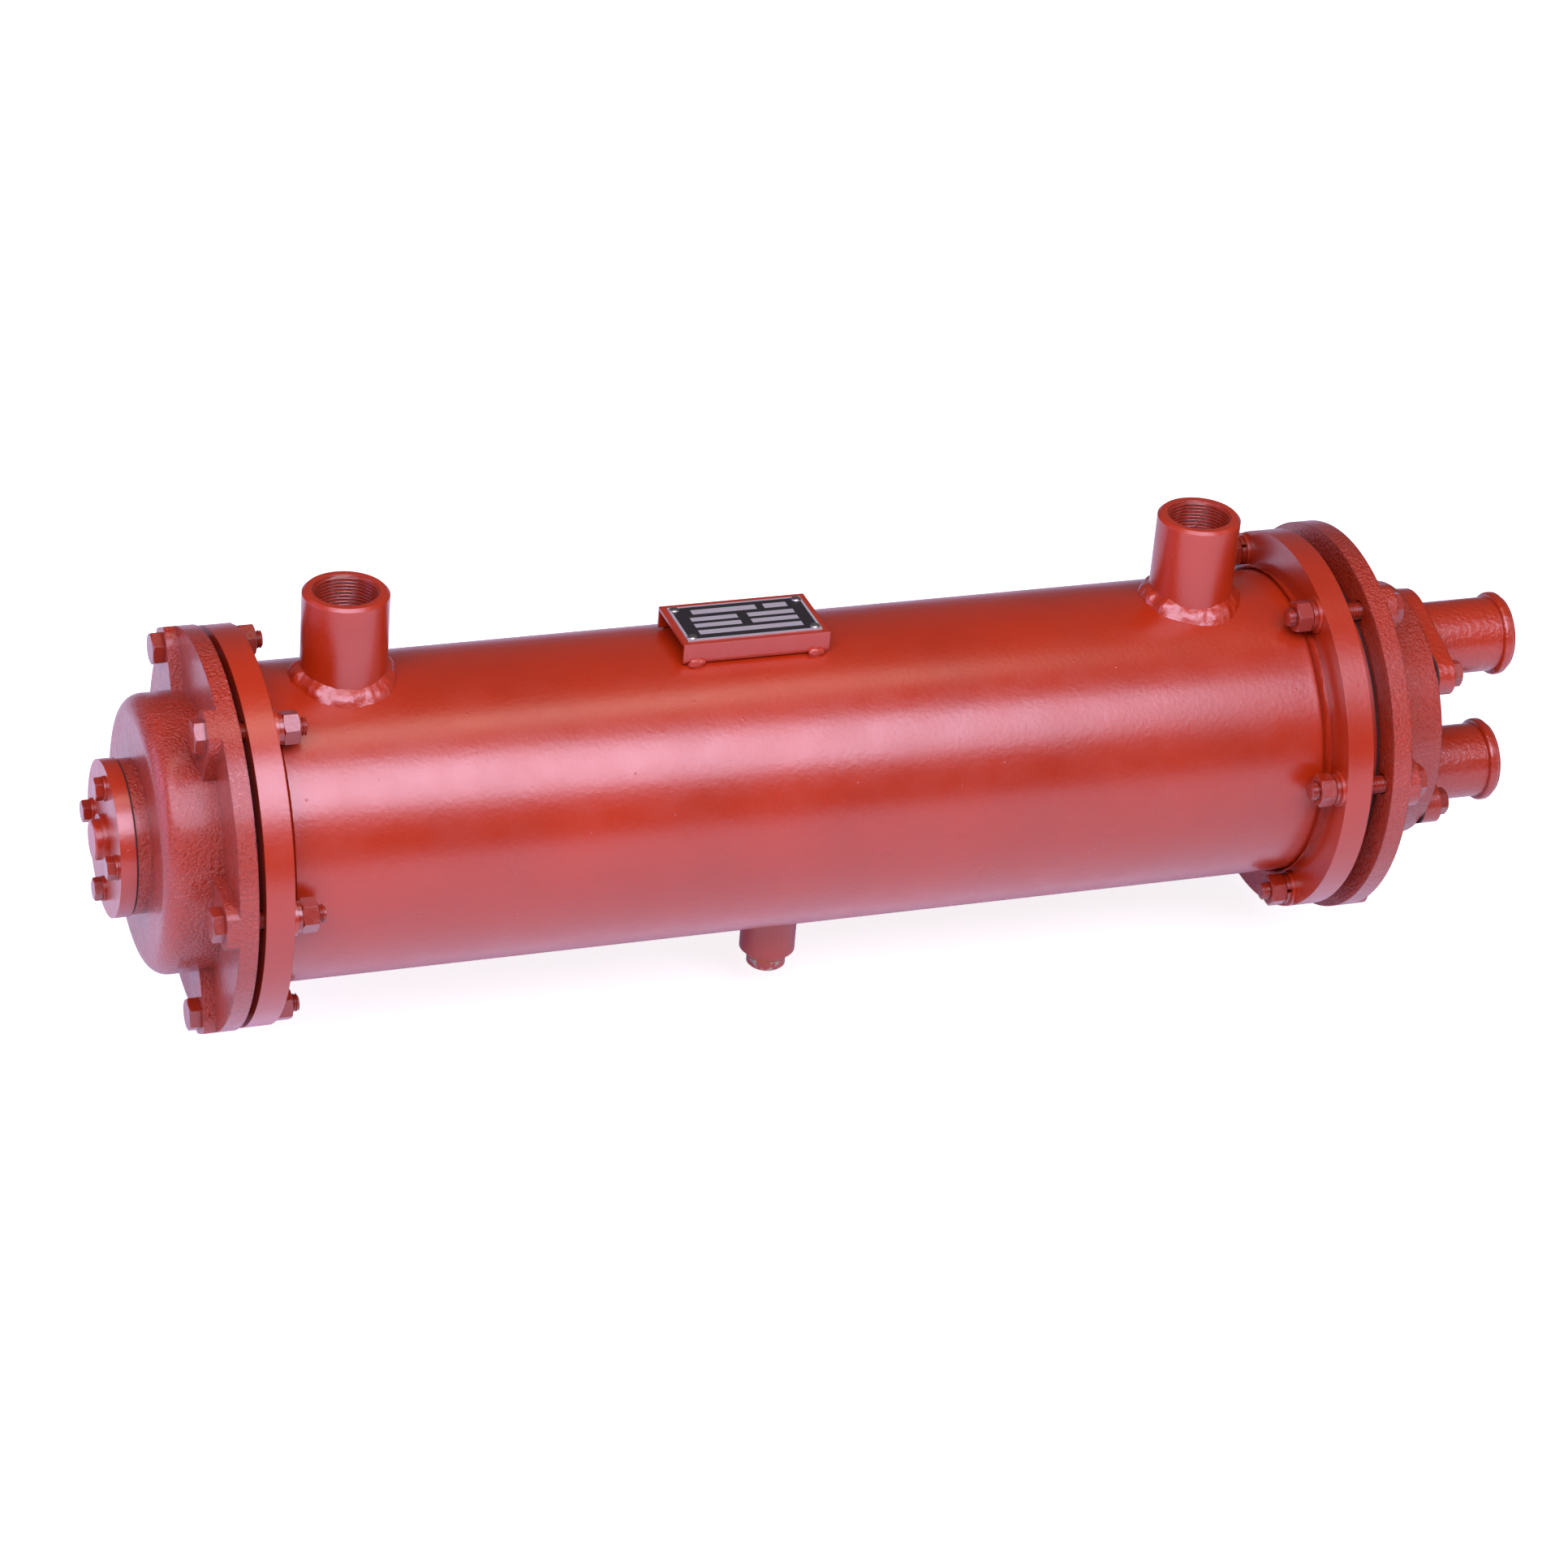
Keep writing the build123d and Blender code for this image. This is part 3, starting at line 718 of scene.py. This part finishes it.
@dataclass
class CoverBolts:
    """The six M12 bolts of each end: heads, threads, nuts and split washers."""

    hexagon: HexFastener = field(default_factory=lambda: HexFastener(19 * MM, 6 * MM, 1.75 * MM))
    count: int = 6
    circle_radius: float = 115 * MM
    head: float = 7.5 * MM
    washer_radius: float = 10.2 * MM
    split: float = 0.22  # the split's width as an angle

    def places(self, turn: Matrix) -> list[Matrix]:
        """Place each bolt, with a turn of its own.

        Args:
            turn: The end's turn about the shell.

        Returns:
            One matrix for each bolt.
        """
        made = []
        for i in range(self.count):
            spot = Matrix.Translation((0, self.circle_radius, 0))
            own = Matrix.Rotation(math.radians(17 * i + 11), 4, "X")
            round_shell = Matrix.Rotation(2 * math.pi * i / self.count, 4, "X")
            made.append(turn @ round_shell @ spot @ own)
        return made

    def build_end(self, word: str, side: int, turn: Matrix) -> None:
        """Build one end's bolts, nuts and washers.

        Args:
            word: "left" or "right".
            side: -1 or 1 along X.
            turn: The end's turn about the shell.
        """
        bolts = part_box(f"{word}_cover_bolts")
        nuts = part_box(f"{word}_cover_nuts")
        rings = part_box(f"{word}_spring_washers")
        outer, inner = (bolts[0].x, bolts[1].x) if side < 0 else (bolts[1].x, bolts[0].x)
        nut_free, nut_seat = (nuts[1].x, nuts[0].x) if side < 0 else (nuts[0].x, nuts[1].x)
        seat = outer - side * self.head
        bolt_mesh, nut_mesh, ring_mesh = bmesh.new(), bmesh.new(), bmesh.new()
        for number, place in enumerate(self.places(turn)):
            self.hexagon.hexagon(bolt_mesh, seat, outer, place, 0.0, False)
            self.hexagon.thread(bolt_mesh, seat, inner, place)
            self.hexagon.hexagon(nut_mesh, nut_seat, nut_free, place, self.hexagon.shank, True)
            self.split_ring(ring_mesh, rings[0].x, rings[1].x, place, 0.9 * number)
        paint = [Finish.FASTENER]
        finish_piece(f"{word}_bolts", bolt_mesh, paint, [f"{word}_cover_bolts"], sharp=FINE_CREASE)
        finish_piece(f"{word}_nuts", nut_mesh, paint, [f"{word}_cover_nuts"], sharp=FINE_CREASE)
        finish_piece(f"{word}_split_washers", ring_mesh, paint, [f"{word}_spring_washers"])

    def split_ring(
        self, mesh: bmesh.types.BMesh, low: float, high: float, place: Matrix, start: float
    ) -> None:
        """Add a spring washer with its split.

        Args:
            mesh: The mesh to add to.
            low: The washer's lower X.
            high: Its upper X.
            place: Where the bolt stands.
            start: The angle of the split.
        """
        count = 40
        gap = self.split
        bore = self.hexagon.shank
        rings = []
        for i in range(count + 1):
            turn = start + gap / 2 + (2 * math.pi - gap) * i / count
            way = Vector((0, math.cos(turn), math.sin(turn)))
            corners = ((low, bore), (low, self.washer_radius), (high, self.washer_radius), (high, bore))
            rings.append([place @ (way * r + Vector((x, 0, 0))) for x, r in corners])
        add_skin(mesh, rings, capped=True)

    def build(self) -> None:
        """Build both ends."""
        self.build_end("left", -1, NO_TURN)
        self.build_end("right", 1, RIGHT_END_TURN)


@dataclass
class SmallBolts:
    """The anode plate's M8 bolts and the nozzles' M10 bolts, as chamfered heads."""

    plate_hexagon: HexFastener = field(
        default_factory=lambda: HexFastener(13 * MM, 4 * MM, 1.25 * MM)
    )
    plate_circle: float = 36 * MM
    plate_head: float = 5.3 * MM
    nozzle_hexagon: HexFastener = field(
        default_factory=lambda: HexFastener(16 * MM, 5 * MM, 1.5 * MM)
    )
    nozzle_reach: float = 57 * MM
    nozzle_height: float = 47 * MM
    nozzle_head: float = 6.4 * MM

    def build(self) -> None:
        """Build both sets."""
        low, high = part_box("anode_plate_bolts")
        mesh = bmesh.new()
        for i in range(4):
            spot = Matrix.Translation((0, self.plate_circle, 0))
            own = Matrix.Rotation(0.4 * i + 0.3, 4, "X")
            place = Matrix.Rotation(math.pi / 2 * i, 4, "X") @ spot @ own
            seat = low.x + self.plate_head
            self.plate_hexagon.hexagon(mesh, seat, low.x, place, 0.0, False)
            self.plate_hexagon.thread(mesh, seat, high.x, place)
        finish_piece("plate_screws", mesh, [Finish.FASTENER], ["anode_plate_bolts"], sharp=FINE_CREASE)

        low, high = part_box("nozzle_bolts")
        mesh = bmesh.new()
        for y in (-self.nozzle_reach, self.nozzle_reach):
            for z in (-self.nozzle_height, self.nozzle_height):
                own = Matrix.Rotation(0.5 + z * 9, 4, "X")
                place = RIGHT_END_TURN @ Matrix.Translation((0, y, z)) @ own
                seat = high.x - self.nozzle_head
                self.nozzle_hexagon.hexagon(mesh, seat, high.x, place, 0.0, False)
                self.nozzle_hexagon.thread(mesh, seat, low.x, place)
        finish_piece("nozzle_screws", mesh, [Finish.FASTENER], ["nozzle_bolts"], sharp=FINE_CREASE)


# ---------------------------------------------------------------- oil ports
@dataclass
class PortThreads:
    """The pipe threads cut inside the oil ports."""

    pitch: float = 2.309 * MM
    major: float = 20.95 * MM
    depth: float = 1.48 * MM
    length: float = 36 * MM
    lead_in: float = 2.0 * MM
    points: int = 96
    slices_per_turn: int = 8

    def thread(self, word: str) -> None:
        """Cut the pipe thread of one port as a liner of its bore.

        Args:
            word: "left" or "right".
        """
        low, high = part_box(f"{word}_oil_port")
        middle = (low.x + high.x) / 2
        steps = int(self.length / self.pitch * self.slices_per_turn)
        rings = []
        for k in range(steps + 1):
            z = high.z - 0.3 * MM - self.length * k / steps
            ring = []
            for turn in turns(self.points):
                phase = (z / self.pitch + turn / (2 * math.pi)) % 1.0
                flank = min(1.0, max(0.0, 1.25 * (1 - abs(2 * phase - 1)) - 0.12))
                start = max(0.0, self.lead_in - (high.z - z))
                r = max(self.major - self.depth * flank, self.major - self.depth + start)
                ring.append(Vector((middle + r * math.cos(turn), r * math.sin(turn), z)))
            rings.append(ring)
        mesh = bmesh.new()
        add_skin(mesh, rings)
        finish_piece(f"{word}_port_thread", mesh, [Finish.FASTENER], sharp=60)

    def build(self) -> None:
        """Build the threads."""
        for word in ("left", "right"):
            self.thread(word)


# ---------------------------------------------------------------- nameplate
@dataclass
class Nameplate:
    """An etched aluminium plate with blank fields on a dark ground, and its domed rivets."""

    border: float = 1.6 * MM
    etch: float = 0.12 * MM
    rivet_inset: float = 3.8 * MM
    rivet_radius: float = 3.4 * MM
    dome_steps: int = 8
    fields: tuple[tuple[float, float, float, float], ...] = (
        (0.14, 0.76, 0.50, 0.14),
        (0.70, 0.76, 0.18, 0.14),
        (0.10, 0.54, 0.36, 0.12),
        (0.54, 0.54, 0.36, 0.12),
        (0.10, 0.34, 0.36, 0.12),
        (0.54, 0.34, 0.36, 0.12),
        (0.10, 0.12, 0.80, 0.13),
    )

    def slab(self, mesh: bmesh.types.BMesh, low: Vector, high: Vector, index: int) -> None:
        """Add a thin block between two corners.

        Args:
            mesh: The mesh to add to.
            low: The lowest corner.
            high: The highest corner.
            index: The block's material index.
        """
        corners = ((low.x, low.y), (high.x, low.y), (high.x, high.y), (low.x, high.y))
        rings = [[Vector((x, y, z)) for x, y in corners] for z in (low.z, high.z)]
        add_skin(mesh, rings, capped=True, index=index)

    def build(self) -> None:
        """Build the plate and the rivets."""
        low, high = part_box("nameplate")
        mesh = bmesh.new()
        self.slab(mesh, low, high - Vector((0, 0, self.etch)), 0)
        edge = Vector((self.border, self.border, 0))
        ground_low = Vector((low.x, low.y, high.z - self.etch)) + edge
        ground_high = high - edge - Vector((0, 0, 0.6 * self.etch))
        self.slab(mesh, ground_low, ground_high, 1)
        span = ground_high - ground_low
        for left, bottom, width, height in self.fields:
            corner = ground_low + Vector((left * span.x, bottom * span.y, 0))
            far = corner + Vector((width * span.x, height * span.y, 0))
            far.z = high.z - 0.2 * self.etch
            self.slab(mesh, corner, far, 0)
        for bar_low, bar_high in self.frame_bars(low, high):
            self.slab(mesh, bar_low, bar_high, 0)
        finish_piece("name_plate_face", mesh, [Finish.ALUMINIUM, Finish.INK], ["nameplate"])
        self.rivets(low, high)

    def frame_bars(self, low: Vector, high: Vector) -> list[tuple[Vector, Vector]]:
        """Lay out the four bright edges round the dark ground.

        Args:
            low: The plate's lowest corner.
            high: The plate's highest corner.

        Returns:
            The lowest and highest corner of each edge.
        """
        z = high.z - self.etch
        b = self.border
        return [
            (Vector((low.x, low.y, z)), Vector((high.x, low.y + b, high.z))),
            (Vector((low.x, high.y - b, z)), Vector((high.x, high.y, high.z))),
            (Vector((low.x, low.y + b, z)), Vector((low.x + b, high.y - b, high.z))),
            (Vector((high.x - b, low.y + b, z)), Vector((high.x, high.y - b, high.z))),
        ]

    def rivets(self, low: Vector, high: Vector) -> None:
        """Add the four domed rivets.

        Args:
            low: The plate's lowest corner.
            high: The plate's highest corner.
        """
        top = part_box("nameplate_rivets")[1].z
        mesh = bmesh.new()
        for x in (low.x + self.rivet_inset, high.x - self.rivet_inset):
            for y in (low.y + self.rivet_inset, high.y - self.rivet_inset):
                rings = []
                for k in range(self.dome_steps + 1):
                    swing = math.pi / 2 * k / self.dome_steps
                    r = max(self.rivet_radius * math.cos(swing), 0.05 * MM)
                    middle = Vector((x, y, high.z + (top - high.z) * math.sin(swing)))
                    ring = [middle + Vector((r * math.cos(a), r * math.sin(a), 0)) for a in turns(32)]
                    rings.append(ring)
                add_skin(mesh, rings)
        finish_piece("plate_rivets", mesh, [Finish.RIVET], ["nameplate_rivets"], sharp=SOFT_CREASE)


def turns(count: int) -> list[float]:
    """Angles evenly round a circle."""
    return [2 * math.pi * i / count for i in range(count)]


# ---------------------------------------------------------------- carried-over CAD parts
NODE_FINISHES: dict[str, Finish] = {
    "left_end_cover": Finish.CASTING,
    "right_end_cover": Finish.CASTING,
    "upper_water_nozzle": Finish.NOZZLE,
    "lower_water_nozzle": Finish.NOZZLE,
    "drain_plug": Finish.CHIPPED,
    "drain_plug_washer": Finish.WASHER,
    "zinc_anode": Finish.ZINC,
    "tubes": Finish.COPPER,
    "fixed_tube_sheet": Finish.STEEL,
    "floating_tube_sheet": Finish.BRASS,
    "floating_sheet_o_rings": Finish.RUBBER,
}


def node_finish(name: str) -> Finish:
    """Choose the finish of a CAD part that stays.

    Args:
        name: The part's name.

    Returns:
        Its finish.
    """
    if name in NODE_FINISHES:
        return NODE_FINISHES[name]
    if name.endswith("gasket"):
        return Finish.GASKET
    if name.startswith(("baffle", "tie_rod")):
        return Finish.STEEL_BARE
    return Finish.STEEL


def dress_nodes(nodes: dict[str, bpy.types.Object]) -> None:
    """Give every CAD part its finish and smooth shading.

    Args:
        nodes: The CAD parts by name.
    """
    for name, part in nodes.items():
        finish = node_finish(name)
        part.data.materials.clear()
        part.data.materials.append(finish.material())
        smooth(part.data, 30)
    LOG.info("dressed %d CAD parts", len(nodes))


# ---------------------------------------------------------------- studio
@dataclass
class Studio:
    """A white floor, soft boxes and the camera."""

    azimuth: float = math.radians(-21.30)
    elevation: float = math.radians(29.37)
    roll: float = math.radians(4.87)
    distance: float = 3.178
    aim: Vector = field(default_factory=lambda: Vector((0.005, -0.0066, -0.0078)))
    lens: float = 112.0
    fill: float = 0.10
    floor_gloss: float = 0.3
    world_gloss: float = 0.04
    drop: float = 25 * MM  # the floor stays clear of the drain plug when it is out

    def camera(self) -> None:
        """Place the camera by its angles about the aim point."""
        data = bpy.data.cameras.new("camera")
        data.lens = self.lens
        data.sensor_width = 36.0
        data.clip_end = 100.0
        camera = bpy.data.objects.new("camera", data)
        bpy.context.scene.collection.objects.link(camera)
        flat = math.cos(self.elevation)
        sine, cosine = math.sin(self.azimuth), math.cos(self.azimuth)
        forward = Vector((-sine * flat, cosine * flat, -math.sin(self.elevation)))
        level = Vector((cosine, sine, 0))
        upright = level.cross(forward)
        right = level * math.cos(self.roll) + upright * math.sin(self.roll)
        up = upright * math.cos(self.roll) - level * math.sin(self.roll)
        facing = Matrix((right, up, -forward)).transposed().to_4x4()
        camera.matrix_world = Matrix.Translation(self.aim - forward * self.distance) @ facing
        bpy.context.scene.camera = camera

    def softbox(
        self,
        name: str,
        azimuth: float,
        elevation: float,
        distance: float,
        size: tuple[float, float],
        watts: float,
        tint: str,
    ) -> None:
        """Hang a rectangular lamp that faces the cooler.

        Args:
            name: The lamp's name.
            azimuth: Its bearing in degrees, 0 in front and positive to the right.
            elevation: Its height in degrees.
            distance: Its distance in metres.
            size: Its width and height in metres.
            watts: Its power.
            tint: Its colour as sRGB hex.
        """
        lamp = bpy.data.lights.new(name, "AREA")
        lamp.shape = "RECTANGLE"
        lamp.size, lamp.size_y = size
        lamp.energy = watts
        lamp.color = linear(tint)[:3]
        holder = bpy.data.objects.new(name, lamp)
        bpy.context.scene.collection.objects.link(holder)
        a, e = math.radians(azimuth), math.radians(elevation)
        way = Vector((math.sin(a) * math.cos(e), -math.cos(a) * math.cos(e), math.sin(e)))
        facing = way.to_track_quat("Z", "Y").to_matrix().to_4x4()
        holder.matrix_world = Matrix.Translation(way * distance) @ facing

    def floor(self) -> None:
        """Lay a pale floor that reads white and still takes a soft shadow."""
        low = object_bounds()[0].z - self.drop
        mesh = bmesh.new()
        rows = [[Vector((x, y, low)) for x in (-9, 9)] for y in (-9, 12)]
        add_skin(mesh, rows, closed=False)
        data = bpy.data.meshes.new("studio_floor")
        mesh.to_mesh(data)
        mesh.free()
        floor = bpy.data.objects.new("studio_floor", data)
        bpy.context.scene.collection.objects.link(floor)
        material, tree, _ = new_material("white_studio_floor")
        path = tree.nodes.new("ShaderNodeLightPath")
        glow = stretch(tree, self.seen_rays(tree, self.floor_gloss), 0.0, 1.0, 0.0, 0.8)
        white, lilac = linear("ffffff"), linear("c9b8ff")
        tint = blend_colours(tree, path.outputs["Is Glossy Ray"], white, lilac)
        sockets = {
            "Base Color": linear("eeeeee"),
            "Roughness": 0.9,
            "Emission Color": tint,
            "Emission Strength": glow,
        }
        surface = add_node(tree, "ShaderNodeBsdfPrincipled", {}, sockets)
        add_node(tree, "ShaderNodeOutputMaterial", {}, {"Surface": surface.outputs["BSDF"]})
        data.materials.append(material)
        floor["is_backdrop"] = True

    def seen_rays(self, tree: Tree, gloss: float) -> Socket:
        """How much of the white background a ray sees.

        Args:
            tree: The tree to add to.
            gloss: The share that reflections see.

        Returns:
            One for camera and transmitted rays, the share for glossy rays, and zero for the rest.
        """
        path = tree.nodes.new("ShaderNodeLightPath")
        total = path.outputs["Is Camera Ray"]
        settings = {"operation": "MULTIPLY_ADD", "use_clamp": True}
        for name, share in (("Is Glossy Ray", gloss), ("Is Transmission Ray", 1.0)):
            step = add_node(tree, "ShaderNodeMath", settings, {})
            tree.links.new(path.outputs[name], step.inputs[0])
            step.inputs[1].default_value = share
            tree.links.new(total, step.inputs[2])
            total = step.outputs[0]
        return total

    def world(self) -> None:
        """Surround the set with white that lights the cooler only gently."""
        world = bpy.data.worlds.new("studio")
        bpy.context.scene.world = world
        world.use_nodes = True
        tree = world.node_tree
        tree.nodes.clear()
        seen = self.seen_rays(tree, self.world_gloss)
        strength = stretch(tree, seen, 0.0, 1.0, self.fill, 1.0)
        tint = blend_colours(tree, seen, linear("e9e6f6"), linear("ffffff"))
        back = add_node(tree, "ShaderNodeBackground", {}, {"Color": tint, "Strength": strength})
        add_node(tree, "ShaderNodeOutputWorld", {}, {"Surface": back.outputs["Background"]})

    def build(self) -> None:
        """Set the camera, the floor, the lamps and the world."""
        bpy.context.scene.view_settings.view_transform = "Standard"
        self.camera()
        self.floor()
        self.world()
        self.softbox("key_softbox", -13, 50, 2.4, (3.4, 1.4), 104, "e2ddfb")
        self.softbox("left_softbox", -96, 16, 2.0, (1.2, 1.3), 14, "cabcff")
        self.softbox("top_strip", 20, 84, 2.4, (2.0, 0.5), 8, "fff0e6")
        self.softbox("right_strip", 64, 26, 2.4, (0.8, 1.4), 4, "f2ecff")


def main() -> None:
    """Build the cooler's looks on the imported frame."""
    logging.basicConfig(level=logging.INFO, format="%(message)s")
    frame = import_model()
    dress_nodes(frame["nodes"])
    for part in (WeldBeads(), CoverBolts(), SmallBolts(), PortThreads(), Nameplate(), Studio()):
        part.build()
        LOG.info("built %s", type(part).__name__)


if __name__ == "__main__":
    main()
